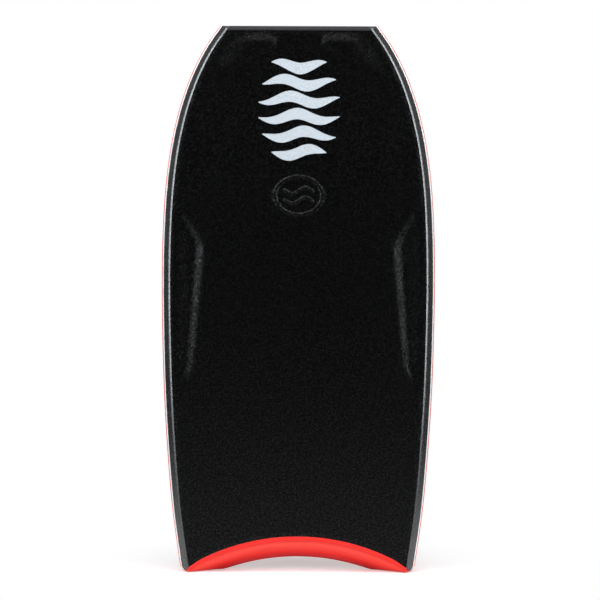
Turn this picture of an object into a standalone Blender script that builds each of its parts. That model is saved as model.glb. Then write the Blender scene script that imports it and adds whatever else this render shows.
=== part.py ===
"""A 42 inch crescent-tail bodyboard, as the separate pieces that a factory bonds together.

Board axes, used by every function below: x runs across, y from the tail tips to the nose, and z from the
slick (the bottom sheet) to the deck. All sizes are in metres. The empty "standing" turns the board upright
on its tail tips, so that the world's +Z points at the nose and the deck faces -Y.

Each piece is one object. Neighbouring pieces are BOND apart, which is the glue line between them. All the
lofted and layered pieces take their cross sections at the same STATIONS, so that their faces stay parallel.
"""

import math

import bmesh
import bpy
import numpy as np
from mathutils import Matrix, Vector

# Overall size
LENGTH = 1.067
THICKNESS = 0.054
NOSE_THICKNESS = 0.047
NOSE_LIFT = 0.017
ROCKER_START = 0.64 * LENGTH
FOIL_START = 0.72 * LENGTH
BOND = 0.0003

# Plan outline at the widest line of the rail: (distance from the tail tips, half width)
TEMPLATE = (
    (0.0, 0.2291),
    (0.120, 0.2458),
    (0.240, 0.2564),
    (0.355, 0.2633),
    (0.460, 0.2667),
    (0.560, 0.2682),
    (0.660, 0.2669),
    (0.766, 0.2602),
    (0.850, 0.2479),
    (0.920, 0.2303),
    (0.980, 0.2076),
    (1.030, 0.1810),
    (LENGTH, 0.1549),
)
TIP_RADIUS = 0.013

# Rail section: insets go inwards from the widest line, and depths go down from the deck
RAIL_WALL = 0.0185
CHINE_BREAK = (0.0137, 0.0021)
CHINE_DEPTH = 0.012
CHINE_FOOT_INSET = 0.0050
PINLINE_SHARE = 0.34
APEX_SHARE = 0.555
SLICK_EDGE_INSET = 0.006

# Layers, from the slick up and from the deck down
SLICK_SHEET = 0.0016
BACKING_FOAM = 0.003
MESH_SHEET = 0.0006
DECK_SKIN = 0.005
BACKING_BOTTOM = SLICK_SHEET + BOND
BACKING_TOP = BACKING_BOTTOM + BACKING_FOAM
SLICK_MESH_BOTTOM = BACKING_TOP + BOND
SLICK_MESH_TOP = SLICK_MESH_BOTTOM + MESH_SHEET
CORE_BOTTOM = SLICK_MESH_TOP + BOND
DECK_MESH_DEPTH = DECK_SKIN + BOND
CORE_DEPTH = DECK_MESH_DEPTH + MESH_SHEET + BOND

# Crescent tail: an arc in plan, cut at a slant, so that the slick reaches further back than the deck.
# The face runs through these (depth, distance from the tips) points on the centre line.
CRESCENT_RADIUS = 0.417
TAIL_DECK_EDGE = (0.0, 0.0645)
TAIL_CREASE = (0.003, 0.0620)
TAIL_SLICK_EDGE = (THICKNESS, 0.0240)
TAIL_CROWN = 0.0025
TAIL_STRIP = 0.005
TAIL_SLANT = 1.25
TAIL_REACH = 0.090
TIP_CAP = 0.0035
TIP_THINNING = 0.6
TIP_THIN_FROM, TIP_THIN_TO = 0.185, 0.222

# Nose strip, with its own chine and a tucked lower edge
NOSE_STRIP = 0.012
NOSE_CHINE_DEPTH = 0.009
NOSE_CHINE_CROWN = 0.0025
NOSE_TUCK = 0.005

# Deck relief on the +x side: the corners of each patch, and how wide the ramp inside each of its edges is
WELL_DEPTH = 0.0055
WELL_CORNERS = ((0.180, 0.640), (0.203, 0.392), (0.247, 0.350), (0.247, 0.735))
WELL_RAMPS = (0.022, 0.016, 0.045, 0.016)
BULB_HEIGHT = 0.0038
BULB_CORNERS = ((0.042, 1.052), (0.042, 1.020), (0.150, 0.962), (0.185, 0.968), (0.136, 1.052))
BULB_RAMPS = (0.014, 0.018, 0.030, 0.050, 0.020)
PAD_CORNERS = ((0.053, 1.046), (0.053, 1.034), (0.160, 0.976), (0.172, 0.979), (0.134, 1.046))

# Slick channels, as shares of the half width inside the rails, fading out forwards from the tail
CHANNEL_DEPTH = 0.006
CHANNEL_INNER, CHANNEL_OUTER, CHANNEL_RAMP = 0.66, 0.93, 0.08
CHANNEL_FULL_TO, CHANNEL_END = 0.120, 0.430

# Stringer: a tube in a blind bore along the centre line, with a plug in each end
STRINGER_RADIUS, STRINGER_WALL = 0.0055, 0.0012
STRINGER_START, STRINGER_END = 0.068, 0.915
STRINGER_HEIGHT = 0.027
PLUG_FLANGE, PLUG_SPIGOT = 0.0015, 0.012
ROUND_STEPS = 20

# Cross sections along the board, and columns of the layers as shares of the half width inside the rails
INNER_START, INNER_END = TIP_CAP + BOND, LENGTH - NOSE_STRIP - BOND
OUTER_END = LENGTH + 0.002
TIP_STATIONS = (0.0, 0.0005, 0.0018, INNER_START, 0.0075, TIP_RADIUS)
SIDE_STATIONS = (0.030, 0.060, TAIL_REACH, 0.120, 0.180, 0.240, 0.300, 0.350, 0.392, 0.410, 0.450, 0.500,
                 0.550, 0.600, 0.640, 0.660, 0.682, 0.710, 0.735, 0.760, 0.800, 0.840, 0.875, 0.905, 0.930,
                 0.952)
NOSE_STATIONS = (0.968, 0.980, 0.994, 1.008, 1.022, 1.036, 1.046, INNER_END, OUTER_END)
STATIONS = TIP_STATIONS + SIDE_STATIONS + NOSE_STATIONS
COLUMNS = (0.0, 0.22, 0.32, 0.42, 0.53, 0.66, 0.74, 0.78, 0.82, 0.87, 0.93, 1.0)


# ---------------------------------------------------------------- the board's shape


def smooth_step(share):
    """0 below 0 and 1 above 1, level at both ends."""
    share = min(max(share, 0.0), 1.0)
    return share * share * (3.0 - 2.0 * share)


def template_at(y):
    """Half width of the template at y, and its slope there, on a cubic curve through its points."""
    places, widths = np.array(TEMPLATE).T
    slopes = np.gradient(widths, places)
    i = int(np.clip(np.searchsorted(places, y) - 1, 0, len(places) - 2))
    gap, rise = places[i + 1] - places[i], widths[i + 1] - widths[i]
    t = (y - places[i]) / gap
    start, end = slopes[i] * gap - rise, rise - slopes[i + 1] * gap
    width = widths[i] + rise * t + t * (1.0 - t) * (start * (1.0 - t) + end * t)
    bend = (1.0 - 2.0 * t) * (start * (1.0 - t) + end * t) + t * (1.0 - t) * (end - start)
    return width, (rise + bend) / gap


def half_width(y, inset=0.0):
    """Half the board's width at y, on the outline or on a line inset from it."""
    width, slope = template_at(y)
    corner = max(TIP_RADIUS - y, 0.0)
    rounding = TIP_RADIUS - math.sqrt(TIP_RADIUS**2 - corner**2)
    return width - rounding - inset * math.hypot(1.0, slope)


def channel_depth(x, y):
    across = abs(x) / half_width(y, RAIL_WALL)
    inner = smooth_step((across - CHANNEL_INNER) / CHANNEL_RAMP)
    outer = smooth_step((CHANNEL_OUTER - across) / CHANNEL_RAMP)
    fade = 1.0 - smooth_step((y - CHANNEL_FULL_TO) / (CHANNEL_END - CHANNEL_FULL_TO))
    return CHANNEL_DEPTH * inner * outer * fade


def slick_height(x, y):
    """Height of the slick: flat, with two channels at the tail and the rocker at the nose."""
    along = max((y - ROCKER_START) / (LENGTH - ROCKER_START), 0.0)
    return NOSE_LIFT * along**2 + channel_depth(x, y)


def thickness(y):
    thinned = smooth_step((y - FOIL_START) / (LENGTH - FOIL_START))
    return THICKNESS + (NOSE_THICKNESS - THICKNESS) * thinned


def flat_deck(y):
    """Height of the deck at y, before its wells and bulbs."""
    return slick_height(0.0, y) + thickness(y)


def patch_share(x, y, corners, ramps):
    """1 in the middle of a convex patch, falling to 0 at each of its edges."""
    share = 1.0
    for (ax, ay), (bx, by), ramp in zip(corners, corners[1:] + corners[:1], ramps):
        inside = ((bx - ax) * (y - ay) - (by - ay) * (abs(x) - ax)) / math.hypot(bx - ax, by - ay)
        share *= smooth_step(inside / ramp)
    return share


def welled_deck(x, y):
    return flat_deck(y) - WELL_DEPTH * patch_share(x, y, WELL_CORNERS, WELL_RAMPS)


def deck_height(x, y):
    return welled_deck(x, y) + BULB_HEIGHT * patch_share(x, y, BULB_CORNERS, BULB_RAMPS)


def apex_depth(y):
    """Depth of the widest line of the rail."""
    return APEX_SHARE * thickness(y)


def seam_depth(y):
    """Depth of the lower edge of the pinline."""
    return CHINE_DEPTH + PINLINE_SHARE * (apex_depth(y) - CHINE_DEPTH)


def rail_inset(y, depth):
    """Inset of the rail's outer face below the chine."""
    apex = apex_depth(y)
    if depth < apex:
        return CHINE_FOOT_INSET * ((apex - depth) / (apex - CHINE_DEPTH)) ** 2
    return SLICK_EDGE_INSET * ((depth - apex) / (thickness(y) - apex)) ** 2


def bowed_line(start, end, crown, steps):
    """Points from start to end in a plane, bowed by the crown to the left of the way there."""
    dx, dy = end[0] - start[0], end[1] - start[1]
    length = math.hypot(dx, dy)
    points = []
    for i in range(steps + 1):
        share = i / steps
        bow = crown * 4.0 * share * (1.0 - share)
        points.append((start[0] + dx * share - dy / length * bow, start[1] + dy * share + dx / length * bow))
    return points


def crescent(x):
    """How far the tail's arc has dropped at x, from its top on the centre line."""
    return CRESCENT_RADIUS - math.sqrt(CRESCENT_RADIUS**2 - x**2)


# ---------------------------------------------------------------- Blender helpers


def start_scene():
    for old in list(bpy.data.objects):
        bpy.data.objects.remove(old, do_unlink=True)
    for name in ("bodyboard", "cutters"):
        bpy.context.scene.collection.children.link(bpy.data.collections.new(name))
    standing = bpy.data.objects.new("standing", None)
    standing.rotation_euler = (math.radians(90.0), 0.0, 0.0)
    bpy.data.collections["bodyboard"].objects.link(standing)
    return standing


def finish_of(name, colour, roughness, metallic=0.0):
    material = bpy.data.materials.new(name)
    material.use_nodes = True
    shader = material.node_tree.nodes["Principled BSDF"]
    shader.inputs["Base Color"].default_value = (*colour, 1.0)
    shader.inputs["Roughness"].default_value = roughness
    shader.inputs["Metallic"].default_value = metallic
    return material


def add_object(name, mesh, material=None):
    """Stands a mesh with the board: as a part if it has a material, and as a cutter if it has none."""
    thing = bpy.data.objects.new(name, mesh)
    thing.parent = bpy.data.objects["standing"]
    if material:
        mesh.materials.append(material)
        bpy.data.collections["bodyboard"].objects.link(thing)
    else:
        thing.hide_render = True
        thing.display_type = "WIRE"
        bpy.data.collections["cutters"].objects.link(thing)
    return thing


def mesh_of(name, shape):
    """Turns a closed bmesh into a mesh with its faces outwards, smooth but for its real edges."""
    bmesh.ops.recalc_face_normals(shape, faces=shape.faces)
    mesh = bpy.data.meshes.new(name)
    shape.to_mesh(mesh)
    shape.free()
    mesh.shade_smooth()
    mesh.set_sharp_from_angle(angle=math.radians(30.0))
    return mesh


def loft(name, rings, material=None):
    """A closed solid through rings that all have the same number of points."""
    shape = bmesh.new()
    loops = [[shape.verts.new(point) for point in ring] for ring in rings]
    for here, there in zip(loops, loops[1:]):
        for i in range(len(here)):
            after = (i + 1) % len(here)
            shape.faces.new((here[i], here[after], there[after], there[i]))
    shape.faces.new(loops[0])
    shape.faces.new(loops[-1])
    return add_object(name, mesh_of(name, shape), material)


def block(name, low, high):
    """A box-shaped cutter."""
    low, high = Vector(low), Vector(high)
    shape = bmesh.new()
    bmesh.ops.create_cube(shape, size=1.0)
    bmesh.ops.scale(shape, vec=high - low, verts=shape.verts)
    bmesh.ops.translate(shape, vec=(low + high) / 2.0, verts=shape.verts)
    return add_object(name, mesh_of(name, shape))


def layer(name, rows, bottom, top, material=None):
    """A sheet: a grid laid out on the rows of (x, y), thickened between two functions of x and y."""
    shape = bmesh.new()
    bmesh.ops.create_grid(shape, x_segments=len(rows[0]) - 1, y_segments=len(rows) - 1, size=1.0)
    grid = sorted(shape.verts, key=lambda vert: (round(vert.co.y, 4), vert.co.x))
    for vert, (x, y) in zip(grid, (place for row in rows for place in row)):
        vert.co = (x, y, bottom(x, y))
    bmesh.ops.triangulate(shape, faces=shape.faces, quad_method="FIXED")
    for item in bmesh.ops.extrude_face_region(shape, geom=shape.faces[:])["geom"]:
        if isinstance(item, bmesh.types.BMVert):
            item.co.z = top(item.co.x, item.co.y)
    sheet = add_object(name, mesh_of(name, shape), material)
    merge = sheet.modifiers.new("merge flat faces", "DECIMATE")
    merge.decimate_type = "DISSOLVE"
    merge.angle_limit = math.radians(0.02)
    return sheet


def turned(name, profile, closed, y, material):
    """A (radius, place) profile turned about the stringer's axis, with its place counted from y."""
    mesh = bpy.data.meshes.new(name)
    edges = [(i, i + 1) for i in range(len(profile) - 1)]
    if closed:
        edges.append((len(profile) - 1, 0))
    mesh.from_pydata([(radius, 0.0, place) for radius, place in profile], edges, [])
    thing = add_object(name, mesh, material)
    thing.location = (0.0, y, STRINGER_HEIGHT)
    thing.rotation_euler = (math.radians(-90.0), 0.0, 0.0)
    spin = thing.modifiers.new("turn", "SCREW")
    spin.steps = spin.render_steps = ROUND_STEPS
    spin.use_merge_vertices = True
    spin.merge_threshold = 0.00001
    return thing


def cut(thing, *cutters):
    for cutter in cutters:
        remove = thing.modifiers.new("cut by " + cutter.name, "BOOLEAN")
        remove.operation = "DIFFERENCE"
        remove.object = cutter
    return thing


# ---------------------------------------------------------------- grids and sections


def stations(start, end):
    return [y for y in STATIONS if start - BOND / 2.0 < y < end + BOND / 2.0]


def mirrored(row):
    """A row of (x, y) from the centre line outwards, with its other half."""
    return [(-x, y) for x, y in reversed(row[1:])] + row


def inner_row(y):
    edge = half_width(y, RAIL_WALL + BOND)
    return [(share * edge, y) for share in COLUMNS]


def inner_rows(start=INNER_START):
    """The layout of the layers that the rails enclose."""
    return [mirrored(inner_row(y)) for y in stations(start, INNER_END)]


def outer_rows(height):
    """The layout of a layer that runs out under the rails, at its height above the slick."""
    rows = []
    for y in stations(0.0, OUTER_END):
        edge = half_width(y, rail_inset(y, thickness(y) - height))
        rows.append(mirrored(inner_row(y) + [(edge, y)]))
    return rows


def chine_section(y):
    foot = CHINE_DEPTH - BOND / 2.0
    return [(rail_inset(y, CHINE_DEPTH), foot), CHINE_BREAK, (RAIL_WALL, 0.0), (RAIL_WALL, foot)]


def rail_section(y, top, foot, steps):
    outer = [(rail_inset(y, depth), depth) for depth in np.linspace(top, foot, steps + 1)]
    return outer + [(RAIL_WALL, foot), (RAIL_WALL, top)]


def pinline_section(y):
    return rail_section(y, CHINE_DEPTH + BOND / 2.0, seam_depth(y) - BOND / 2.0, 1)


def lower_rail_section(y):
    return rail_section(y, seam_depth(y) + BOND / 2.0, thickness(y) - SLICK_MESH_BOTTOM, 5)


def tail_section(y):
    """The board's whole section at y above the backing foam, as (x, z) points."""
    chine = chine_section(y)[:-1]
    below = [(rail_inset(y, depth), depth) for depth in (seam_depth(y), apex_depth(y))]
    foot = thickness(y) - SLICK_MESH_BOTTOM
    below += [(rail_inset(y, depth), depth) for depth in ((apex_depth(y) + foot) / 2.0, foot)]
    side = [(half_width(y, inset), flat_deck(y) - depth) for inset, depth in chine[::-1] + below]
    side += [(x, slick_height(x, y) + SLICK_MESH_BOTTOM) for x, _ in inner_row(y)[:0:-1]]
    return side + [(0.0, slick_height(0.0, y) + SLICK_MESH_BOTTOM)] + [(-x, z) for x, z in side[::-1]]


# ---------------------------------------------------------------- cutters


def tail_void(name, inwards=0.0):
    """Everything behind the tail face, or behind a face that far inside it, and less at the tips."""
    over = THICKNESS / 6.0
    face = bowed_line(TAIL_CREASE, TAIL_SLICK_EDGE, -TAIL_CROWN, 4)
    bevel = (TAIL_DECK_EDGE[1] - TAIL_CREASE[1]) / TAIL_CREASE[0]
    slant = (face[-2][1] - face[-1][1]) / (face[-1][0] - face[-2][0])
    above, beneath = TAIL_DECK_EDGE[1] + over * bevel, face[-1][1] - over * slant
    line = [(-over, above), *face, (THICKNESS + over, beneath)]
    rings = []
    for x in np.linspace(-0.26, 0.26, 27):
        thinning = TIP_THINNING * smooth_step((abs(x) - TIP_THIN_FROM) / (TIP_THIN_TO - TIP_THIN_FROM))
        shift = TAIL_SLANT * (inwards - thinning * min(inwards, TAIL_STRIP)) - crescent(x)
        ring = [(x, y + shift, THICKNESS - depth) for depth, y in line]
        rings.append(ring + [(x, -0.15, ring[-1][2]), (x, -0.15, ring[0][2])])
    return loft(name, rings)


def nose_void():
    """Everything in front of the nose: its chine, its upright face and its tucked lower edge."""
    deck, slick = flat_deck(LENGTH), slick_height(0.0, LENGTH)
    chine_start = (INNER_END + 2.0 * BOND, flat_deck(INNER_END) + BOND)
    chine_foot = (LENGTH - NOSE_TUCK / 2.0, deck - NOSE_CHINE_DEPTH)
    line = bowed_line(chine_start, chine_foot, NOSE_CHINE_CROWN, 3)
    line += [(LENGTH, deck - APEX_SHARE * NOSE_THICKNESS), (LENGTH - NOSE_TUCK, slick)]
    margin = THICKNESS
    line += [(LENGTH - NOSE_TUCK, slick - margin), (LENGTH + margin, slick - margin)]
    line += [(LENGTH + margin, deck + margin), (chine_start[0], deck + margin)]
    return loft("nose_void", [[(x, y, z) for y, z in line] for x in (-0.3, 0.3)])


def inside_of_tail_strip():
    """The space that the tail strip wraps round."""
    space = block("inside_of_tail_strip", (-0.3, TIP_CAP, -0.1), (0.3, 0.3, 0.2))
    return cut(space, tail_void("tail_strip_void", TAIL_STRIP))


def stringer_bore():
    start, end = TAIL_SLICK_EDGE[1], STRINGER_END + PLUG_FLANGE + BOND
    shape = bmesh.new()
    radius = STRINGER_RADIUS + BOND
    along = Matrix.Rotation(math.radians(90.0), 4, "X")
    place = Matrix.Translation((0.0, (start + end) / 2.0, STRINGER_HEIGHT)) @ along
    bmesh.ops.create_cone(shape, cap_ends=True, segments=ROUND_STEPS, radius1=radius, radius2=radius,
                          depth=end - start, matrix=place)
    return add_object("stringer_bore", mesh_of("stringer_bore", shape))


# ---------------------------------------------------------------- pieces


def make_inner_layers(foam, mesh_sheet, skin, tail):
    """The core with a mesh sheet on each side of it, and the deck skin on top."""
    rows = inner_rows()

    def above_slick(height):
        return lambda x, y: slick_height(x, y) + height

    def below_deck(depth):
        return lambda x, y: welled_deck(x, y) - depth

    core = layer("core", rows, above_slick(CORE_BOTTOM), below_deck(CORE_DEPTH), foam)
    bottom, top = above_slick(SLICK_MESH_BOTTOM), above_slick(SLICK_MESH_TOP)
    slick_mesh = layer("slick_mesh", rows, bottom, top, mesh_sheet)
    bottom, top = below_deck(DECK_MESH_DEPTH + MESH_SHEET), below_deck(DECK_MESH_DEPTH)
    deck_mesh = layer("deck_mesh", rows, bottom, top, mesh_sheet)
    deck_skin = layer("deck_skin", rows, lambda x, y: deck_height(x, y) - DECK_SKIN, deck_height, skin)
    for piece in (core, slick_mesh, deck_mesh, deck_skin):
        cut(piece, tail)
    cut(core, stringer_bore())
    return deck_skin


def make_outer_layers(backing_foam, slick_film, tail, nose):
    """The backing foam and the slick, which run out to the rails' lower edge."""
    for name, low, high, material in (
        ("slick_backing", BACKING_BOTTOM, BACKING_TOP, backing_foam),
        ("slick_sheet", 0.0, SLICK_SHEET, slick_film),
    ):
        sheet = layer(name, outer_rows((low + high) / 2.0), lambda x, y, low=low: slick_height(x, y) + low,
                      lambda x, y, high=high: slick_height(x, y) + high, material)
        cut(sheet, tail, nose)


def make_rail(name, side, section, material, tail, nose):
    """A strip down one side of the board, with a section of (inset, depth) points at each station."""
    rings = []
    for y in stations(INNER_START, OUTER_END):
        rings.append([(side * half_width(y, inset), y, flat_deck(y) - depth) for inset, depth in section(y)])
    cut(loft(name, rings, material), tail, nose)


def make_nose_strip(material, nose):
    """The strip across the nose, between the rails and on the backing foam."""
    rings = []
    for y in (LENGTH - NOSE_STRIP, OUTER_END):
        edge = half_width(y, RAIL_WALL + BOND)
        low, high = slick_height(0.0, y) + SLICK_MESH_BOTTOM, flat_deck(y)
        rings.append([(-edge, y, low), (edge, y, low), (edge, y, high), (-edge, y, high)])
    cut(loft("nose_strip", rings, material), nose)


def make_tail_strip(material, tail):
    """The strip round the crescent and the tips: the tail's whole section, less what it wraps."""
    rings = [[(x, y, z) for x, z in tail_section(y)] for y in stations(0.0, TAIL_REACH)]
    cut(loft("tail_strip", rings, material), tail, inside_of_tail_strip())


def make_nose_bulbs(material):
    """Foam pads on the deck mesh, which lift the deck skin into a grip at each nose corner."""
    rows = inner_rows(min(NOSE_STATIONS))
    under = layer("under_bulbs", rows, lambda x, y: 0.0, lambda x, y: flat_deck(y) - DECK_SKIN)
    skin_underside = DECK_SKIN + BOND
    over = layer("over_bulbs", rows, lambda x, y: deck_height(x, y) - skin_underside,
                 lambda x, y: 2.0 * THICKNESS)
    for name, side in (("nose_bulb_left", -1.0), ("nose_bulb_right", 1.0)):
        rings = [[(side * x, y, z) for x, y in PAD_CORNERS] for z in (THICKNESS / 2.0, 1.5 * THICKNESS)]
        cut(loft(name, rings, material), under, over)


def make_stringer(tube, plug):
    """The stringer tube, and its two plugs, whose flanges close the tube's ends."""
    length, bore = STRINGER_END - STRINGER_START, STRINGER_RADIUS - STRINGER_WALL
    wall = [(STRINGER_RADIUS, length), (STRINGER_RADIUS, 0.0), (bore, 0.0), (bore, length)]
    turned("stringer_tube", wall, True, STRINGER_START, tube)
    spigot = bore - BOND
    ends = (("stringer_plug_tail", 1.0, STRINGER_START), ("stringer_plug_nose", -1.0, STRINGER_END))
    for name, way, y in ends:
        flange = -way * BOND / 2.0
        profile = [(0.0, way * PLUG_SPIGOT), (spigot, way * PLUG_SPIGOT), (spigot, flange),
                   (STRINGER_RADIUS, flange), (STRINGER_RADIUS, flange - way * PLUG_FLANGE),
                   (0.0, flange - way * PLUG_FLANGE)]
        turned(name, profile if way > 0.0 else profile[::-1], False, y, plug)


def main():
    standing = start_scene()
    black_skin = finish_of("deck skin", (0.012, 0.012, 0.013), 0.75)
    black_foam = finish_of("black rail foam", (0.030, 0.030, 0.033), 0.45)
    white_foam = finish_of("white pinline foam", (0.85, 0.84, 0.82), 0.5)
    red_foam = finish_of("red rail foam", (0.68, 0.030, 0.035), 0.4)
    core_foam = finish_of("core foam", (0.82, 0.80, 0.74), 0.85)
    pad_foam = finish_of("pad foam", (0.10, 0.10, 0.11), 0.85)
    backing_foam = finish_of("backing foam", (0.60, 0.028, 0.032), 0.6)
    slick_film = finish_of("slick film", (0.62, 0.022, 0.028), 0.22)
    mesh_sheet = finish_of("mesh sheet", (0.55, 0.55, 0.52), 0.6)
    carbon = finish_of("stringer tube", (0.02, 0.02, 0.022), 0.3)
    plug_plastic = finish_of("stringer plug", (0.05, 0.05, 0.05), 0.5)

    tail_face = tail_void("tail_face_void")
    tail_bond = tail_void("tail_bond_void", TAIL_STRIP + BOND)
    nose = nose_void()
    deck_skin = make_inner_layers(core_foam, mesh_sheet, black_skin, tail_bond)
    make_outer_layers(backing_foam, slick_film, tail_face, nose)
    for side_name, side in (("left", -1.0), ("right", 1.0)):
        make_rail("upper_rail_" + side_name, side, chine_section, black_foam, tail_bond, nose)
        make_rail("pinline_" + side_name, side, pinline_section, white_foam, tail_bond, nose)
        make_rail("lower_rail_" + side_name, side, lower_rail_section, red_foam, tail_bond, nose)
    make_nose_strip(black_foam, nose)
    make_tail_strip(red_foam, tail_face)
    make_nose_bulbs(pad_foam)
    make_stringer(carbon, plug_plastic)

    # The origin is on the floor, under the middle of the board's depth.
    depth = max(vert.co.z for vert in deck_skin.data.vertices)
    standing.location = (0.0, depth / 2.0, 0.0)


main()
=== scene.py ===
"""The looks of the bodyboard: fine foam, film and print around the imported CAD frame, in a plain pale studio.

Board axes, used by the shape functions: x runs across, y from the tail tips to the nose, and z from the
slick (the bottom sheet) to the deck. in_frame() turns them into the frame's axes, where the board stands on
its tail. Insets go inwards from the board's widest line, and depths go down from the deck. All sizes are in
metres, and the shape functions take numpy arrays.
"""

import math

import bmesh
import bpy
import numpy as np
from mathutils import Matrix, Vector


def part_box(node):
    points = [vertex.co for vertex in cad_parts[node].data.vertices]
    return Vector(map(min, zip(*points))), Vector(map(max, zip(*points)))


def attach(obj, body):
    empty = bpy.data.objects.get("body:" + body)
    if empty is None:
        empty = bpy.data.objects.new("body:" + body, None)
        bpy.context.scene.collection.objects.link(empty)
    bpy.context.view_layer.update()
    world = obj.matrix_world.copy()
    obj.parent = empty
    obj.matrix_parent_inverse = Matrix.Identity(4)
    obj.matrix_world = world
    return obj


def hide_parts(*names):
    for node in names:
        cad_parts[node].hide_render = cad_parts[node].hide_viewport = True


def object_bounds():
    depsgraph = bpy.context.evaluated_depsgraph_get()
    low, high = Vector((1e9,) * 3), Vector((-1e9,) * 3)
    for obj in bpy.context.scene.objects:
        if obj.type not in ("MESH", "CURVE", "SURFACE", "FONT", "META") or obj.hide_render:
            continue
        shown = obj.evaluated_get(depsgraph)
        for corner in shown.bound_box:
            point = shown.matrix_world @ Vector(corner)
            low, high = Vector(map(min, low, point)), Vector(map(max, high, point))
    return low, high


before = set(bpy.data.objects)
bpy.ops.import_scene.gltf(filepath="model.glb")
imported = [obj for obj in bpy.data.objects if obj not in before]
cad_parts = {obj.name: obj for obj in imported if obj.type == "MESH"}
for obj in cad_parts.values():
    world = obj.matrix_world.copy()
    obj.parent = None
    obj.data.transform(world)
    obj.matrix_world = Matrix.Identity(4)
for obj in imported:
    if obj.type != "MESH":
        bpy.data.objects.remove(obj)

CAD_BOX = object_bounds()
BACK = CAD_BOX[1].y
LENGTH = CAD_BOX[1].z
GLUE = 0.0003

# Rail section
RAIL_WALL = 0.0185
CHINE_BREAK_INSET, CHINE_BREAK_DEPTH = 0.0137, 0.0021
CHINE_FOOT_INSET, CHINE_DEPTH = 0.0050, 0.012
CHINE_SOFTNESS = 0.0010
PINLINE_SHARE, APEX_SHARE = 0.34, 0.555
SLICK_EDGE_INSET = 0.006
DECK_SKIN, SLICK_SHEET, BACKING_TOP = 0.004, 0.0016, 0.0049
SEAM_ROUNDING = 0.0004

# Crescent tail: (depth, distance from the tips) points of its face on the centre line
CRESCENT_RADIUS = 0.417
TAIL_FACE = ((0.0, 0.0650), (0.0004, 0.0640), (0.0012, 0.0631), (0.0026, 0.0621), (0.0045, 0.0607),
             (0.054, 0.024))
TAIL_CROWN = 0.005
TAIL_STRIP_SHIFT, TAIL_STRIP_FOOT = 0.00625, 0.0491
TIP_CAP, TIP_RADIUS = 0.0035, 0.013
TIP_THINNING, TIP_THIN_FROM, TIP_THIN_TO = 0.6, 0.185, 0.222
TIP_SOFTNESS, TIP_INNER_SOFTNESS = 0.0022, 0.001

# Nose face: (depth, distance behind the nose) points
NOSE_FACE = ((0.0, 0.012), (0.0008, 0.0098), (0.0022, 0.0073), (0.0042, 0.0050), (0.0066, 0.0034),
             (0.009, 0.0025), (0.016, 0.0010), (0.026, 0.0), (0.036, 0.0010), (0.047, 0.0050))
NOSE_STRIP_FOOT, NOSE_SEAM_ROUNDING = 0.042, 0.0006

# Deck relief on the +x side: the corners of each patch, and how wide the ramp inside each of its edges is
WELL_DEPTH = 0.0055
WELL_CORNERS = ((0.180, 0.640), (0.203, 0.392), (0.247, 0.350), (0.247, 0.735))
WELL_RAMPS = (0.022, 0.016, 0.045, 0.016)
DECK_ROLL, DECK_ROLL_WIDTH = 0.0007, 0.010
BULB_HEIGHT = 0.0038
BULB_CORNERS = ((0.042, 1.052), (0.042, 1.020), (0.150, 0.962), (0.185, 0.968), (0.136, 1.052))
BULB_RAMPS = (0.011, 0.018, 0.030, 0.050, 0.020)
EMBLEM_CENTRE, EMBLEM_HALF = 0.735, (0.046, 0.037)
EMBLEM_LINE, EMBLEM_HEIGHT = 0.0052, 0.0016
EMBLEM_WAVE_LIFT, EMBLEM_WAVE_REACH, EMBLEM_WAVE_HEIGHT, EMBLEM_WAVE_TURN = 0.26, 0.58, 0.16, 5.6

# Print: waves in an oval. Their curve has a height, a length and a shift from wave to wave.
PRINT_CENTRE, PRINT_HALF = 0.904, (0.080, 0.102)
PRINT_WAVES, PRINT_OVERHANG = 6, 1.12
PRINT_WAVE_HEIGHT, PRINT_WAVE_LENGTH, PRINT_WAVE_SHIFT = 0.0075, 0.0165, 0.9
PRINT_HALF_WIDTH, PRINT_TIP_HALF_WIDTH = 0.0105, 0.0006
PRINT_TOP, PRINT_BOTTOM = 0.00016, -0.0003

# Slick channels, as shares of the half width inside the rails, fading out forwards from the tail
CHANNEL_DEPTH = 0.006
CHANNEL_INNER, CHANNEL_OUTER, CHANNEL_RAMP = 0.66, 0.93, 0.08
CHANNEL_FULL_TO, CHANNEL_END = 0.120, 0.430

# Steps inwards from an edge, close enough together to round it
EDGE_STEPS = np.array([0.0, 0.00006, 0.00016, 0.00028, 0.0004, 0.0012])
EDGE_BAND = 0.0025
ROWS_STRAIGHT_FROM = 0.30
SHARP_ANGLE = math.radians(50.0)

# Fewest points in a whole cross section of a packed rail, and of a packed layer
RAIL_POINTS, LAYER_POINTS = 8, 4

# Tail strip red, and the painted sheen and painted shade blended over it: where each starts and ends its
# blend, in metres above the slick, and its colour
TAIL_SHADE = (0.84, 0.030, 0.024)
TAIL_PAINTED_SHEEN_AND_SHADE = (
    # painted sheen: paler red just under the deck's edge
    (0.051, 0.046, (0.93, 0.080, 0.058)),
    # painted shade: the red deepening down the face
    (0.046, 0.026, (0.82, 0.022, 0.018)),
    # painted shade: darkest red towards the slick
    (0.028, 0.006, (0.52, 0.001, 0.004)),
)

# Strip foams: name, darkest and lightest colour, colour of the rubbed edges (on the red strip partly wear and
# partly a painted highlight), roughness and specular level
STRIP_FINISHES = (
    ("black strip foam", (0.010, 0.010, 0.011), (0.020, 0.020, 0.022), (0.05, 0.05, 0.052), 0.27, 1.0),
    ("black nose foam", (0.010, 0.010, 0.011), (0.018, 0.018, 0.020), (0.04, 0.04, 0.042), 0.60, 0.2),
    ("white pinline foam", (0.80, 0.79, 0.77), (0.90, 0.90, 0.88), (0.92, 0.92, 0.90), 0.45, 0.4),
    # the red strip's pale pink edge colour is partly wear and partly a painted highlight along its convex
    # edges
    ("red strip foam", (0.72, 0.010, 0.012), (0.80, 0.016, 0.016), (0.88, 0.08, 0.07), 0.40, 0.22),
    ("red backing foam", (0.60, 0.012, 0.012), (0.68, 0.018, 0.016), (0.80, 0.06, 0.05), 0.55, 0.4),
)

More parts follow.
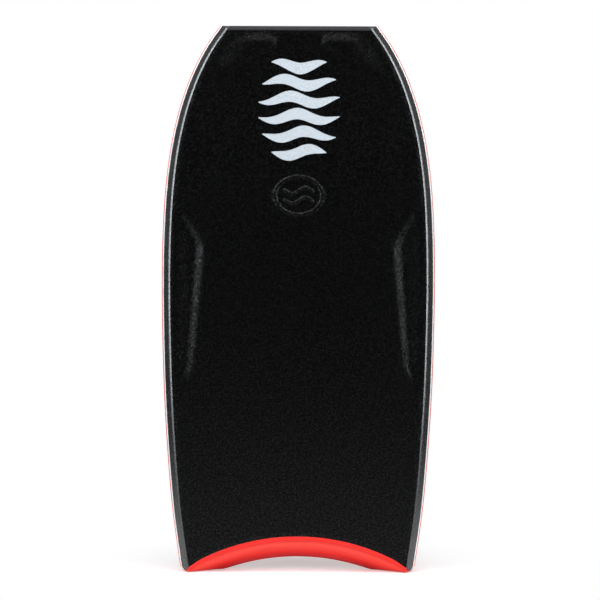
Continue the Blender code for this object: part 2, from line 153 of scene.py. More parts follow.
# Camera
CAMERA_DISTANCE, CAMERA_HEIGHT, CAMERA_VIEW = 3.10, 0.5318, math.radians(21.335)
CAMERA_SIDESTEP, CAMERA_ROLL = 0.0033, math.radians(0.20)

# Floor. It glows a little, and fades to an even glow further out. In each pair, the first is for the light
# that reaches the board, and the second for what the camera sees.
FLOOR_RADIUS, FLOOR_COLOUR = 40.0, (0.85, 0.85, 0.85, 1.0)
FLOOR_LIGHT, FLOOR_FAR_LIGHT = (0.05, 0.31), (0.05, 1.0)
FLOOR_FADE_START, FLOOR_FADE_END = (0.35, 0.25), (1.6, 0.48)

# Brightness of the room in front of the board, and behind it
ROOM_FRONT, ROOM_BACK = 0.02, 0.35

# Softboxes: place on the +x side, size, radiance and colour
SIDE_SOFTBOX = ((2.25, -1.67, 1.28), (0.5, 2.56), 14.5, (0.92, 0.97, 1.0))
REAR_SOFTBOX = ((2.2, 2.0, 1.3), (1.0, 1.2), 1.2, (1.0, 1.0, 1.0))
TOP_SOFTBOX = ((0.0, -0.6, 2.3), (2.6, 1.0), 5.5, (1.0, 1.0, 1.0))
SOFTBOX_AIM = Vector((0.0, 0.0, 0.5))


# ---------------------------------------------------------------- shape of the board


def smooth_step(share):
    """0 below 0 and 1 above 1, level at both ends."""
    share = np.clip(share, 0.0, 1.0)
    return share * share * (3.0 - 2.0 * share)


def smooth_curve(places, values):
    """A smooth function through the points, straight before the first and after the last."""
    places, values = np.array(places), np.array(values)
    slopes = np.gradient(values, places)

    def curve(at):
        at = np.asarray(at, float)
        inside = np.clip(at, places[0], places[-1])
        i = np.clip(np.searchsorted(places, inside, side="right") - 1, 0, len(places) - 2)
        gap, rise = places[i + 1] - places[i], values[i + 1] - values[i]
        t = (inside - places[i]) / gap
        start, end = slopes[i] * gap - rise, rise - slopes[i + 1] * gap
        value = values[i] + rise * t + t * (1.0 - t) * (start * (1.0 - t) + end * t)
        return value + (at - inside) * np.where(at < places[0], slopes[0], slopes[-1])

    return curve


def rounded_drop(distance, radius=SEAM_ROUNDING):
    """How far a surface has dropped at this distance inside its rounded edge."""
    short = np.clip(1.0 - distance / radius, 0.0, 1.0)
    return radius * (1.0 - np.sqrt(1.0 - short**2))


def softened(value, softness):
    """value where it is over 0, and 0 elsewhere, with a soft turn between the two."""
    return 0.5 * (value + np.hypot(value, softness))


def measured(node, least, pick):
    """A smooth function of y through what pick reads from each of a CAD node's whole cross sections."""
    corners = np.array([vert.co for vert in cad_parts[node].data.vertices])
    points = np.column_stack([corners[:, 0], corners[:, 2], BACK - corners[:, 1]])
    points = np.unique(np.round(points, 6), axis=0)
    places, counts = np.unique(points[:, 1], return_counts=True)
    whole = [y for y, count in zip(places, counts) if count >= least and y >= TIP_RADIUS - 1e-5]
    return smooth_curve(whole, [pick(points[points[:, 1] == y]) for y in whole])


def outermost_floor(points):
    """Height of the lowest of a section's outermost points."""
    outermost = np.abs(points[:, 0]) > 0.99 * np.abs(points[:, 0]).max()
    return points[outermost, 2].min()


outline = measured("lower_rail_right", RAIL_POINTS, lambda points: points[:, 0].max())
flat_deck = measured("upper_rail_right", LAYER_POINTS, lambda points: points[:, 2].max())
slick_edge = measured("slick_sheet", LAYER_POINTS, outermost_floor)


def half_width(y, inset=0.0):
    step = 0.002
    slope = (outline(y + step) - outline(y - step)) / (2.0 * step)
    corner = np.clip(TIP_RADIUS - y, 0.0, TIP_RADIUS)
    rounding = TIP_RADIUS - np.sqrt(TIP_RADIUS**2 - corner**2)
    return outline(y) - rounding - inset * np.hypot(1.0, slope)


def thickness(y):
    return flat_deck(y) - slick_edge(y)


def patch_share(x, y, corners, ramps):
    """1 in the middle of a convex patch, falling to 0 at each of its edges."""
    share = 1.0
    for (ax, ay), (bx, by), ramp in zip(corners, corners[1:] + corners[:1], ramps):
        inside = ((bx - ax) * (y - ay) - (by - ay) * (np.abs(x) - ax)) / math.hypot(bx - ax, by - ay)
        share = share * smooth_step(inside / ramp)
    return share


def emblem_share(x, y):
    """1 on the lines of the embossed emblem, which is an oval ring round two waves."""
    across, up = x / EMBLEM_HALF[0], (y - EMBLEM_CENTRE) / EMBLEM_HALF[1]
    distances = [np.abs(np.hypot(across, up) - 1.0) * EMBLEM_HALF[1]]
    for lift in (-EMBLEM_WAVE_LIFT, EMBLEM_WAVE_LIFT):
        wave = lift + EMBLEM_WAVE_HEIGHT * np.sin(across * EMBLEM_WAVE_TURN)
        off_wave = (up - wave) * EMBLEM_HALF[1]
        beyond_end = np.clip(np.abs(across) - EMBLEM_WAVE_REACH, 0.0, None) * EMBLEM_HALF[0]
        distances.append(np.hypot(off_wave, beyond_end))
    nearest = np.min(distances, axis=0)
    return smooth_step(1.5 - nearest / (EMBLEM_LINE / 2.0))


def deck_height(x, y):
    wells = WELL_DEPTH * patch_share(x, y, WELL_CORNERS, WELL_RAMPS)
    bulbs = BULB_HEIGHT * patch_share(x, y, BULB_CORNERS, BULB_RAMPS)
    return flat_deck(y) - wells + bulbs


def slick_height(x, y):
    across = np.abs(x) / half_width(y, RAIL_WALL)
    inner = smooth_step((across - CHANNEL_INNER) / CHANNEL_RAMP)
    outer = smooth_step((CHANNEL_OUTER - across) / CHANNEL_RAMP)
    fade = 1.0 - smooth_step((y - CHANNEL_FULL_TO) / (CHANNEL_END - CHANNEL_FULL_TO))
    return slick_edge(y) + CHANNEL_DEPTH * inner * outer * fade


def apex_depth(y):
    """Depth of the widest line of the rail."""
    return APEX_SHARE * thickness(y)


def pinline_foot(y):
    return CHINE_DEPTH + PINLINE_SHARE * (apex_depth(y) - CHINE_DEPTH)


def rail_inset(y, depth):
    """Inset of the board's side at a depth: the chine's two facets, then the round rail."""
    depths = (0.0, CHINE_BREAK_DEPTH, CHINE_DEPTH)
    chine = np.interp(depth, depths, (RAIL_WALL, CHINE_BREAK_INSET, CHINE_FOOT_INSET))
    apex = apex_depth(y)
    upper = CHINE_FOOT_INSET * ((apex - depth) / (apex - CHINE_DEPTH)) ** 2
    lower = SLICK_EDGE_INSET * ((depth - apex) / (thickness(y) - apex)) ** 2
    return np.where(depth < CHINE_DEPTH, chine, np.where(depth < apex, upper, lower))


def tail_face(x, depth):
    """Distance of the bare tail face from the tips. It is negative where the tips' flat ends take over."""
    depths, places = zip(*TAIL_FACE)
    down_the_slant = np.clip((depth - depths[-2]) / (depths[-1] - depths[-2]), 0.0, 1.0)
    bow = TAIL_CROWN * 4.0 * down_the_slant * (1.0 - down_the_slant)
    reach = np.clip(np.abs(x), 0.0, 0.9 * CRESCENT_RADIUS)
    drop = CRESCENT_RADIUS - np.sqrt(CRESCENT_RADIUS**2 - reach**2)
    return np.interp(depth, depths, places) - bow - drop


def tail_strip_outside(x, depth):
    return softened(tail_face(x, depth), TIP_SOFTNESS)


def tail_strip_inside(x, depth):
    """Where the strip ends, and the layers and rails that it covers begin."""
    thinning = TIP_THINNING * smooth_step((np.abs(x) - TIP_THIN_FROM) / (TIP_THIN_TO - TIP_THIN_FROM))
    face = tail_face(x, depth) + TAIL_STRIP_SHIFT * (1.0 - thinning)
    return TIP_CAP + softened(face - TIP_CAP, TIP_INNER_SOFTNESS)


def nose_face(depth):
    depths, behind = zip(*NOSE_FACE)
    return LENGTH - smooth_curve(depths, behind)(depth)


# ---------------------------------------------------------------- meshes


def in_frame(x, y, z):
    """Points of the frame, from board coordinates."""
    return np.stack(np.broadcast_arrays(x, BACK - z, y), axis=-1)


def spaced(*stretches):
    """Numbers from the first stretch's start to the last one's end. A stretch is (start, end, spacing)."""
    runs = [np.linspace(a, b, max(round(abs(b - a) / step), 1), endpoint=False) for a, b, step in stretches]
    return np.append(np.concatenate(runs), stretches[-1][1])


def settled(place, start, rounds=50):
    """Solves y = place(y), by going half of the way there over and over."""
    y = start
    for _ in range(rounds):
        y = 0.5 * (y + place(y))
    return y


def grid_faces(index):
    corners = (index[:-1, :-1], index[:-1, 1:], index[1:, 1:], index[1:, :-1])
    return np.stack(corners, axis=-1).reshape(-1, 4).tolist()


def sheet(top, bottom):
    """Points and faces of the closed solid between two grids of points."""
    rows, columns = top.shape[:2]
    upper = np.arange(rows * columns).reshape(rows, columns)
    lower = upper + rows * columns
    rim = np.concatenate([upper[0, :-1], upper[:-1, -1], upper[-1, :0:-1], upper[:0:-1, 0]])
    onwards = np.roll(rim, -1)
    walls = np.stack([rim, rim + rows * columns, onwards + rows * columns, onwards], axis=-1)
    points = np.concatenate([top.reshape(-1, 3), bottom.reshape(-1, 3)])
    return points, grid_faces(upper) + grid_faces(lower) + walls.tolist()


def loft(rings):
    """Points and faces of the closed solid through rings of points."""
    count, around = rings.shape[:2]
    index = np.arange(count * around).reshape(count, around)
    wrapped = np.concatenate([index, index[:, :1]], axis=1)
    return rings.reshape(-1, 3), grid_faces(wrapped) + [index[0].tolist(), index[-1].tolist()]


def add_piece(name, shape, finish, slot, *nodes):
    """A visible piece of the board: its points and faces, its material, and the CAD nodes it stands for."""
    points, faces = shape
    mesh = bpy.data.meshes.new(name)
    mesh.from_pydata(points.tolist(), [], faces)
    work = bmesh.new()
    work.from_mesh(mesh)
    bmesh.ops.recalc_face_normals(work, faces=work.faces)
    work.to_mesh(mesh)
    work.free()
    mesh.shade_smooth()
    mesh.set_sharp_from_angle(angle=SHARP_ANGLE)
    mesh.materials.append(finish)
    piece = bpy.data.objects.new(name, mesh)
    bpy.context.scene.collection.objects.link(piece)
    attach(piece, "root")
    if nodes:
        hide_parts(*nodes)


def sheet_layout(edge, tail, nose, middle):
    """x and y of a layer's grid. Its rows follow the tail's edge, and straighten out further up the board."""
    inner = spaced((0.0, 0.20, 0.0055), (0.20, 0.72, 0.022), (0.72, 1.0, 0.012))
    last = EDGE_BAND - EDGE_STEPS[::-1]
    share = np.concatenate([inner, np.ones(len(last))])
    extra = np.concatenate([np.zeros(len(inner)), last])
    share = np.concatenate([-share[:0:-1], share])
    extra = np.concatenate([-extra[:0:-1], extra])

    def across(y):
        return share * (edge(y) - EDGE_BAND) + extra

    start = settled(lambda y: tail(across(y)), np.full(len(share), 0.03))
    heights = np.concatenate([EDGE_STEPS, middle, nose - EDGE_STEPS[::-1]])[:, None]
    y = heights + start * (1.0 - smooth_step(heights / ROWS_STRAIGHT_FROM))
    return across(y), y, y - start


# ---------------------------------------------------------------- materials


class Finish:
    """A material under construction, with a short call for each kind of node that the materials below use."""

    def __init__(self, name, roughness, specular):
        self.material = bpy.data.materials.new(name)
        self.material.use_nodes = True
        self.tree = self.material.node_tree
        self.shader = self.tree.nodes["Principled BSDF"]
        self.connect(self.shader, {"Roughness": roughness, "Specular IOR Level": specular})
        self.place = self.node("ShaderNodeTexCoord", {}, "Object")

    def connect(self, node, values):
        for name, value in values.items():
            if isinstance(value, bpy.types.NodeSocket):
                self.tree.links.new(value, node.inputs[name])
            else:
                node.inputs[name].default_value = value

    def node(self, kind, values, output=0, **settings):
        made = self.tree.nodes.new(kind)
        for name, value in settings.items():
            setattr(made, name, value)
        self.connect(made, values)
        return made.outputs[output]

    def noise(self, size, detail=2.0, stretch=(1.0, 1.0, 1.0)):
        """Soft noise from 0 to 1, with lumps of about this size."""
        scale = [share / size for share in stretch]
        place = self.node("ShaderNodeMapping", {"Vector": self.place, "Scale": scale})
        return self.node("ShaderNodeTexNoise", {"Vector": place, "Scale": 1.0, "Detail": detail})

    def cells(self, size, feature="F1"):
        """Distance from the middle, or from the edge, of packed cells of about this size."""
        values = {"Vector": self.place, "Scale": 1.0 / size}
        return self.node("ShaderNodeTexVoronoi", values, "Distance", feature=feature)

    def waves(self, spacing, direction):
        values = {"Vector": self.place, "Scale": 0.314 / spacing}
        return self.node("ShaderNodeTexWave", values, "Fac", bands_direction=direction)

    def rescaled(self, value, low, high, to_low=0.0, to_high=1.0):
        values = {"Value": value, "From Min": low, "From Max": high, "To Min": to_low, "To Max": to_high}
        return self.node("ShaderNodeMapRange", values)

    def maths(self, operation, a, b):
        return self.node("ShaderNodeMath", {0: a, 1: b}, operation=operation)

    def mixed(self, share, low, high):
        """A colour that goes from low to high with the share. Each is a colour or another node's output."""
        low, high = (end if isinstance(end, bpy.types.NodeSocket) else (*end, 1.0) for end in (low, high))
        return self.node("ShaderNodeMix", {"Factor": share, 6: low, 7: high}, 2, data_type="RGBA")

    def bump(self, height, distance, below=None):
        values = {"Height": height, "Distance": distance}
        if below is not None:
            values["Normal"] = below
        return self.node("ShaderNodeBump", values)

    def convex_edges(self, share):
        """How much a point is on a convex edge, where the strips are paler: rubbed wear, and on the red strip
        also a painted highlight.
        """
        pointiness = self.node("ShaderNodeNewGeometry", {}, "Pointiness")
        return self.rescaled(pointiness, 0.52, 0.62, 0.0, share)

    def done(self, colour, normal, roughness=None):
        self.connect(self.shader, {"Base Color": colour, "Normal": normal})
        if roughness is not None:
            self.connect(self.shader, {"Roughness": roughness})
        return self.material


def pebbles(finish):
    """The deck's grain: packed round lumps, with a finer skin on them."""
    from_middle = finish.cells(0.0021)
    lumps = finish.rescaled(finish.maths("MULTIPLY", from_middle, from_middle), 0.0, 0.6, 1.0, 0.0)
    return finish.bump(finish.noise(0.0006, 3.0), 0.00004, finish.bump(lumps, 0.00031))


def deck_skin_finish():
    finish = Finish("deck skin foam", 0.28, 0.15)
    mottle = finish.rescaled(finish.noise(0.0035, 4.0), 0.38, 0.66)
    colour = finish.mixed(mottle, (0.0006, 0.0006, 0.0006), (0.0026, 0.0026, 0.0028))
    roughness = finish.rescaled(finish.noise(0.006, 3.0), 0.35, 0.65, 0.24, 0.31)
    shine = finish.rescaled(finish.noise(0.0036, 2.0), 0.42, 0.62, 0.07, 0.29)
    finish.connect(finish.shader, {"Specular IOR Level": shine})
    return finish.done(colour, pebbles(finish), roughness)


def print_finish():
    finish = Finish("deck print ink", 0.55, 0.35)
    wear = finish.rescaled(finish.noise(0.0016, 4.0), 0.30, 0.60)
    return finish.done(finish.mixed(wear, (0.39, 0.43, 0.47), (0.56, 0.605, 0.65)), pebbles(finish))


def strip_finish(name, low, high, edge_colour, roughness, specular):
    """Skinned strip foam: a fine grain, slight waves from the lamination, and paler convex edges: rubbed wear,
    which on the red strip is partly a painted highlight.
    """
    finish = Finish(name, roughness, specular)
    mottle = finish.rescaled(finish.noise(0.010, 4.0), 0.30, 0.70)
    # Paler colour on convex edges: wear, and on the red strip partly a painted highlight
    colour = finish.mixed(finish.convex_edges(0.5), finish.mixed(mottle, low, high), edge_colour)
    grain = finish.bump(finish.noise(0.0007, 3.0), 0.000005, finish.bump(finish.noise(0.014), 0.00004))
    shine = finish.rescaled(finish.noise(0.004, 3.0), 0.3, 0.7, roughness - 0.05, roughness + 0.07)
    return finish.done(colour, grain, shine)


def tail_strip_finish():
    """The red strip foam, with a painted sheen just under the deck's edge and painted shade that deepens the
    red towards the slick.
    """
    finish = Finish("red tail foam with painted sheen and shade", 0.42, 0.14)
    towards_slick = finish.node("ShaderNodeSeparateXYZ", {0: finish.place}, "Y")
    colour = TAIL_SHADE
    # Painted sheen near the deck's edge, then painted shade towards the slick, blended by height
    for start, end, shade in TAIL_PAINTED_SHEEN_AND_SHADE:
        colour = finish.mixed(finish.rescaled(towards_slick, BACK - start, BACK - end), colour, shade)
    grain = finish.bump(finish.noise(0.0007, 3.0), 0.000005, finish.bump(finish.noise(0.014), 0.00003))
    return finish.done(colour, grain)


def slick_finish():
    """Glossy film over beads, with fine scuffs that run along the board."""
    finish = Finish("slick film", 0.25, 0.5)
    beads = finish.rescaled(finish.cells(0.0045, "SMOOTH_F1"), 0.0, 0.8, 1.0, 0.0)
    ripples = finish.bump(finish.noise(0.035), 0.0004)
    mottle = finish.rescaled(finish.noise(0.05, 4.0), 0.3, 0.7)
    colour = finish.mixed(mottle, (0.55, 0.012, 0.016), (0.66, 0.018, 0.022))
    scuffs = finish.rescaled(finish.noise(0.02, 6.0, (1.0, 1.0, 0.08)), 0.35, 0.75, 0.18, 0.36)
    return finish.done(colour, finish.bump(beads, 0.00002, ripples), scuffs)


def bead_foam_finish(name, low, high, size):
    """Expanded foam, as its packed beads."""
    finish = Finish(name, 0.85, 0.25)
    edges = finish.cells(size, "DISTANCE_TO_EDGE")
    colour = finish.mixed(finish.rescaled(edges, 0.0, 0.12), low, high)
    return finish.done(colour, finish.bump(finish.rescaled(edges, 0.0, 0.2), 0.0002))


def mesh_sheet_finish():
    """A film with a woven mesh in it."""
    finish = Finish("mesh sheet", 0.45, 0.5)
    weave = finish.maths("MAXIMUM", finish.waves(0.003, "X"), finish.waves(0.003, "Z"))
    colour = finish.mixed(finish.rescaled(weave, 0.6, 0.95), (0.30, 0.30, 0.28), (0.72, 0.72, 0.68))
    return finish.done(colour, finish.bump(weave, 0.0003))


def tube_finish():
    finish = Finish("stringer composite", 0.3, 0.5)
    weave = finish.waves(0.002, "DIAGONAL")
    colour = finish.mixed(weave, (0.008, 0.008, 0.009), (0.03, 0.03, 0.033))
    return finish.done(colour, finish.bump(weave, 0.00005))


def plug_finish():
    finish = Finish("plug plastic", 0.5, 0.5)
    mottle = finish.noise(0.003, 3.0)
    colour = finish.mixed(mottle, (0.02, 0.02, 0.02), (0.05, 0.05, 0.052))
    return finish.done(colour, finish.bump(mottle, 0.00005))


# ---------------------------------------------------------------- pieces of the board


def make_deck_skin(finish):
    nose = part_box("deck_skin")[1].z

    def edge(y):
        return half_width(y, RAIL_WALL) - GLUE

    def tail(x):
        return tail_strip_inside(x, 0.0) + GLUE

    middle = spaced((EDGE_BAND, 0.012, 0.002), (0.012, 0.36, 0.010), (0.36, 0.68, 0.006),
                    (0.68, 0.79, 0.0016), (0.79, 0.94, 0.008), (0.94, nose - EDGE_BAND, 0.0035))
    x, y, from_tail = sheet_layout(edge, tail, nose, middle)
    from_edge = np.minimum(edge(y) - np.abs(x), np.minimum(from_tail, nose - y))
    deck = deck_height(x, y)
    rolled = DECK_ROLL * smooth_step(1.0 - from_edge / DECK_ROLL_WIDTH) ** 2
    top = deck + EMBLEM_HEIGHT * emblem_share(x, y) - rolled - rounded_drop(from_edge)
    skin = sheet(in_frame(x, y, top), in_frame(x, y, deck - DECK_SKIN))
    add_piece("deck_skin_pebbled", skin, finish, "deck_skin", "deck_skin")


def make_slick_layer(node, name, low, high, finish, slot):
    """The slick or its backing foam, between two heights above the slick's surface."""
    middle = (low + high) / 2.0
    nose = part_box(node)[1].z

    def edge(y):
        return half_width(y, rail_inset(y, thickness(y) - middle))

    def tail(x):
        return tail_strip_outside(x, thickness(TIP_RADIUS) - middle)

    rows = spaced((EDGE_BAND, 0.016, 0.0015), (0.016, 0.50, 0.010), (0.50, nose - EDGE_BAND, 0.005))
    x, y, _ = sheet_layout(edge, tail, nose, rows)
    height = slick_height(x, y)
    add_piece(name, sheet(in_frame(x, y, height + high), in_frame(x, y, height + low)), finish, slot, node)


def chine_section(y):
    """The black strip: a gentle facet and a steep one, with soft edges."""
    facets = spaced((RAIL_WALL - 0.002, CHINE_FOOT_INSET + 0.001, 0.0005))
    inset = np.concatenate([RAIL_WALL - EDGE_STEPS, facets, CHINE_FOOT_INSET + 0.5 * EDGE_STEPS[::-1]])
    gentle = CHINE_BREAK_DEPTH * (RAIL_WALL - inset) / (RAIL_WALL - CHINE_BREAK_INSET)
    steep_share = (CHINE_BREAK_INSET - inset) / (CHINE_BREAK_INSET - CHINE_FOOT_INSET)
    steep = CHINE_BREAK_DEPTH + (CHINE_DEPTH - CHINE_BREAK_DEPTH) * steep_share
    depth = DECK_ROLL + gentle + softened(steep - gentle, CHINE_SOFTNESS) + rounded_drop(RAIL_WALL - inset)
    depth = np.minimum(depth, CHINE_DEPTH - GLUE / 2.0) + 0.0 * y
    return inset + rounded_drop(CHINE_DEPTH - depth), depth


def side_section(top, foot, steps):
    """The rail's outer face between two depths, rounded off at both."""
    between = np.linspace(0.0, 1.0, steps + 1)[1:-1]
    share = np.concatenate([np.zeros(len(EDGE_STEPS)), between, np.ones(len(EDGE_STEPS))])
    offset = np.concatenate([EDGE_STEPS, EDGE_STEPS[-1] * (1.0 - 2.0 * between), -EDGE_STEPS[::-1]])

    def section(y):
        high, low = top(y) + GLUE / 2.0, foot(y) - GLUE / 2.0
        depth = high + (low - high) * share + offset
        return rail_inset(y, depth) + rounded_drop(np.minimum(depth - high, low - depth)), depth

    return section


def make_side_strip(name, side, section, finish, slot):
    """A foam strip down one side: a section of insets and depths swept along it, and a flat inner wall."""

    def tail_end(y):
        inset, depth = section(y)
        return tail_strip_inside(half_width(y, inset), depth) + GLUE

    start = settled(tail_end, np.full(len(section(0.5)[0]), 0.01))
    end = nose_face(section(LENGTH)[1])
    along = spaced((0.0, 0.02, 0.002), (0.02, 0.70, 0.01), (0.70, 1.0, 0.005))[:, None]
    y = start + (end - start) * along
    inset, depth = section(y)
    wall = half_width(y, RAIL_WALL)
    outer = in_frame(side * half_width(y, inset), y, flat_deck(y) - depth)
    inner = in_frame(side * wall, y, flat_deck(y) - depth)
    add_piece(name + "_foam", loft(np.concatenate([outer, inner[:, ::-1]], axis=1)), finish, slot, name)


def make_nose_strip(finish):
    """The strip across the nose, from rail to rail: its chine, its upright face and its tucked edge."""
    depth = spaced((0.0, 0.0095, 0.0009), (0.0095, NOSE_STRIP_FOOT, 0.004))
    outer = nose_face(depth)
    inner = np.full(len(depth), LENGTH - NOSE_FACE[0][1])
    y = np.concatenate([outer, inner[::-1]])
    rolled = DECK_ROLL * np.clip(1.0 - depth / CHINE_DEPTH, 0.0, 1.0)
    rounded = rounded_drop(outer - inner, NOSE_SEAM_ROUNDING)
    depth = np.concatenate([depth + rolled + rounded, depth[::-1]])
    x = np.linspace(-1.0, 1.0, 61)[:, None] * (half_width(y, RAIL_WALL) - GLUE)
    rings = in_frame(x, y, flat_deck(y) - depth)
    add_piece("nose_strip_foam", loft(rings), finish, "black_rail", "nose_strip")


def make_tail_strip(finish):
    """The strip round the crescent, from tip to tip, whose ends are the tips' round corners."""
    seam = np.append(EDGE_STEPS, EDGE_BAND)
    down_the_face = spaced((0.0, 0.0048, 0.0004), (0.0048, TAIL_STRIP_FOOT, 0.0018))
    depth = np.concatenate([rounded_drop(seam), down_the_face])
    inner_depth = np.maximum(depth, SEAM_ROUNDING)
    half = spaced((0.0, 0.86, 0.02), (0.86, 1.0, 0.005))
    share = np.concatenate([-half[:0:-1], half])[:, None]

    def x_at(y, at_depth):
        return share * half_width(y, rail_inset(y, at_depth))

    def inside(y):
        return tail_strip_inside(x_at(y, inner_depth), inner_depth)

    def outside(y):
        x = x_at(y, depth)
        face = tail_strip_outside(x, depth)
        flat = np.maximum(tail_strip_inside(x, 0.0)[:, : len(seam)] - seam, face[:, : len(seam)])
        return np.concatenate([flat, face[:, len(seam):]], axis=1)

    first_guess = np.full((len(share), len(depth)), 0.02)
    outer, inner = settled(outside, first_guess), settled(inside, first_guess)
    parts = np.linspace(0.0, 1.0, 5)
    rows = [outer + (inner - outer) * part for part in parts]
    depths = [depth + (inner_depth - depth) * part for part in parts]
    surfaces = [in_frame(x_at(y, d), y, flat_deck(y) - d) for y, d in zip(rows, depths)]
    points = np.concatenate([surface.reshape(-1, 3) for surface in surfaces])
    index = np.arange(len(points)).reshape(len(surfaces), *outer.shape)
    faces = grid_faces(index[0]) + grid_faces(index[-1])
    for edge in (index[:, 0, :], index[:, -1, :], index[:, :, 0], index[:, :, -1]):
        faces += grid_faces(edge)
    add_piece("tail_strip_foam", (points, faces), finish, "red_rail", "tail_strip")


def make_deck_print(finish):
    """Ink on the deck: a stack of waves that fills an oval, each tapering to its ends."""
    along, across = np.linspace(-1.0, 1.0, 73)[None, :], np.linspace(-1.0, 1.0, 7)[:, None]
    points, faces = [], []
    for i in range(PRINT_WAVES):
        lift = PRINT_HALF[1] * (2.0 * (i + 0.5) / PRINT_WAVES - 1.0)
        reach = PRINT_HALF[0] * math.sqrt(1.0 - (lift / (PRINT_OVERHANG * PRINT_HALF[1])) ** 2)
        x = along * reach + 0.0 * across
        curve = np.sin(x / PRINT_WAVE_LENGTH + PRINT_WAVE_SHIFT * i) * (1.0 - 0.3 * np.abs(along))
        half = PRINT_HALF_WIDTH * (1.0 - np.abs(along) ** 2.4) + PRINT_TIP_HALF_WIDTH
        y = PRINT_CENTRE + lift + PRINT_WAVE_HEIGHT * curve + across * half
        deck = deck_height(x, y)
        top, bottom = in_frame(x, y, deck + PRINT_TOP), in_frame(x, y, deck + PRINT_BOTTOM)
        wave_points, wave_faces = sheet(top, bottom)
        faces += [[corner + len(wave_points) * i for corner in face] for face in wave_faces]
        points.append(wave_points)
    add_piece("deck_print_waves", (np.concatenate(points), faces), finish, "deck_skin")


def finish_inside():
    """Materials for the CAD nodes that keep their shape: all of them are inside the board."""
    pad = bead_foam_finish("pad foam", (0.04, 0.04, 0.045), (0.10, 0.10, 0.11), 0.002)
    weave, plug = mesh_sheet_finish(), plug_finish()
    finishes = {
        "core": bead_foam_finish("core bead foam", (0.62, 0.60, 0.54), (0.84, 0.82, 0.77), 0.004),
        "nose_bulb_left": pad,
        "nose_bulb_right": pad,
        "deck_mesh": weave,
        "slick_mesh": weave,
        "stringer_tube": tube_finish(),
        "stringer_plug_nose": plug,
        "stringer_plug_tail": plug,
    }
    for node, finish in finishes.items():
        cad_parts[node].data.materials.clear()
        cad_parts[node].data.materials.append(finish)


# ---------------------------------------------------------------- studio


def softbox(name, side, place, size, radiance, colour):
    """A rectangular light that faces the board."""
    place = Vector((side * place[0], place[1], place[2]))
    lamp = bpy.data.lights.new(name, "AREA")
    lamp.shape = "RECTANGLE"
    lamp.size, lamp.size_y = size
    lamp.color = colour
    lamp.energy = radiance * math.pi * size[0] * size[1]
    light = bpy.data.objects.new(name, lamp)
    light.location = place
    light.rotation_euler = (SOFTBOX_AIM - place).to_track_quat("-Z", "Y").to_euler()
    bpy.context.scene.collection.objects.link(light)


def make_lights():
    for side in (-1.0, 1.0):
        softbox("side softbox", side, *SIDE_SOFTBOX)
        softbox("rear softbox", side, *REAR_SOFTBOX)
    softbox("top softbox", 1.0, *TOP_SOFTBOX)


def make_floor():
    """A pale floor that the camera sees fade into the white round it."""
    bpy.ops.mesh.primitive_circle_add(vertices=96, radius=FLOOR_RADIUS, fill_type="NGON")
    floor = bpy.context.object
    floor.name = "studio_floor"
    finish = Finish("studio floor", 0.6, 0.2)
    white = (1.0, 1.0, 1.0, 1.0)
    away = finish.node("ShaderNodeVectorMath", {0: finish.place}, "Value", operation="LENGTH")
    camera_ray = finish.node("ShaderNodeLightPath", {}, "Is Camera Ray")

    def seen(pair):
        return finish.rescaled(camera_ray, 0.0, 1.0, *pair)

    fade = finish.rescaled(away, seen(FLOOR_FADE_START), seen(FLOOR_FADE_END))
    finish.connect(finish.shader, {"Base Color": FLOOR_COLOUR})
    finish.connect(finish.shader, {"Emission Color": white, "Emission Strength": seen(FLOOR_LIGHT)})
    glow = finish.node("ShaderNodeEmission", {"Color": white, "Strength": seen(FLOOR_FAR_LIGHT)})
    mix = finish.node("ShaderNodeMixShader", {0: fade, 1: finish.shader.outputs[0], 2: glow})
    finish.connect(finish.tree.nodes["Material Output"], {"Surface": mix})
    floor.data.materials.append(finish.material)


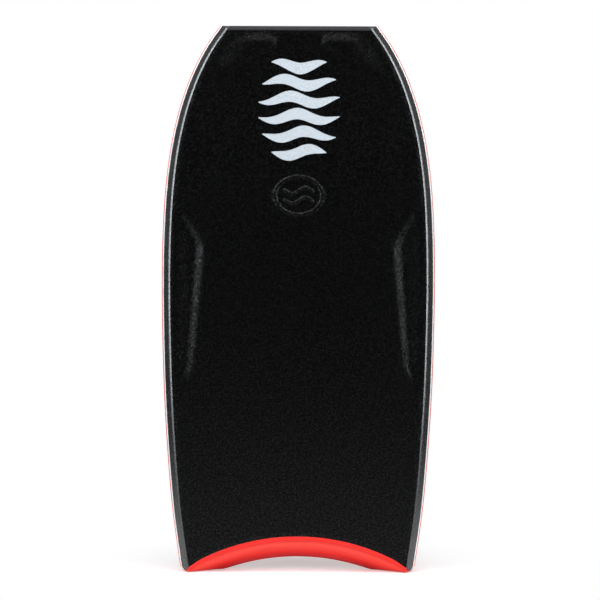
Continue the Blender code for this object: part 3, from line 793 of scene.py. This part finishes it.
def make_world():
    """White to the camera. To the board it is a dim room, darkest in front of the deck."""
    world = bpy.data.worlds.new("studio")
    bpy.context.scene.world = world
    world.use_nodes = True
    tree = world.node_tree
    place = tree.nodes.new("ShaderNodeTexCoord")
    split = tree.nodes.new("ShaderNodeSeparateXYZ")
    strength = tree.nodes.new("ShaderNodeMapRange")
    strength.interpolation_type = "SMOOTHSTEP"
    for name, value in (("From Min", -0.5), ("From Max", 0.7), ("To Min", ROOM_FRONT), ("To Max", ROOM_BACK)):
        strength.inputs[name].default_value = value
    room = tree.nodes["Background"]
    room.inputs["Color"].default_value = (1.0, 1.0, 1.0, 1.0)
    white = tree.nodes.new("ShaderNodeBackground")
    white.inputs["Color"].default_value = (1.0, 1.0, 1.0, 1.0)
    path = tree.nodes.new("ShaderNodeLightPath")
    mix = tree.nodes.new("ShaderNodeMixShader")
    tree.links.new(place.outputs["Generated"], split.inputs[0])
    tree.links.new(split.outputs["Y"], strength.inputs["Value"])
    tree.links.new(strength.outputs[0], room.inputs["Strength"])
    tree.links.new(path.outputs["Is Camera Ray"], mix.inputs[0])
    tree.links.new(room.outputs[0], mix.inputs[1])
    tree.links.new(white.outputs[0], mix.inputs[2])
    tree.links.new(mix.outputs[0], tree.nodes["World Output"].inputs["Surface"])


def make_camera():
    """A level camera in front of the deck, turned by the slight tilt at which the board was seen."""
    data = bpy.data.cameras.new("camera")
    data.sensor_fit = "HORIZONTAL"
    data.angle = CAMERA_VIEW
    camera = bpy.data.objects.new("camera", data)
    deck = BACK - float(flat_deck(0.5))
    level = Matrix.Rotation(math.radians(90.0), 4, "X")
    roll = Matrix.Rotation(CAMERA_ROLL, 4, "Z")
    place = Matrix.Translation((CAMERA_SIDESTEP, deck - CAMERA_DISTANCE, CAMERA_HEIGHT))
    camera.matrix_world = place @ level @ roll
    bpy.context.scene.collection.objects.link(camera)
    bpy.context.scene.camera = camera


def make_board():
    black, nose, white, red, backing = (strip_finish(*values) for values in STRIP_FINISHES)
    make_deck_skin(deck_skin_finish())
    make_deck_print(print_finish())
    pinline_section = side_section(lambda y: CHINE_DEPTH, pinline_foot, 5)
    rail_section = side_section(pinline_foot, lambda y: thickness(y) - BACKING_TOP, 16)
    for side_name, side in (("left", -1.0), ("right", 1.0)):
        make_side_strip("upper_rail_" + side_name, side, chine_section, black, "black_rail")
        make_side_strip("pinline_" + side_name, side, pinline_section, white, "white_pinline")
        make_side_strip("lower_rail_" + side_name, side, rail_section, red, "red_rail")
    make_nose_strip(nose)
    make_tail_strip(tail_strip_finish())
    backing_foot = SLICK_SHEET + GLUE
    make_slick_layer("slick_backing", "slick_backing_foam", backing_foot, BACKING_TOP, backing, "red_backing")
    make_slick_layer("slick_sheet", "slick_sheet_film", 0.0, SLICK_SHEET, slick_finish(), "red_slick")
    finish_inside()


make_board()
make_floor()
make_world()
make_lights()
make_camera()
bpy.context.scene.view_settings.view_transform = "Standard"
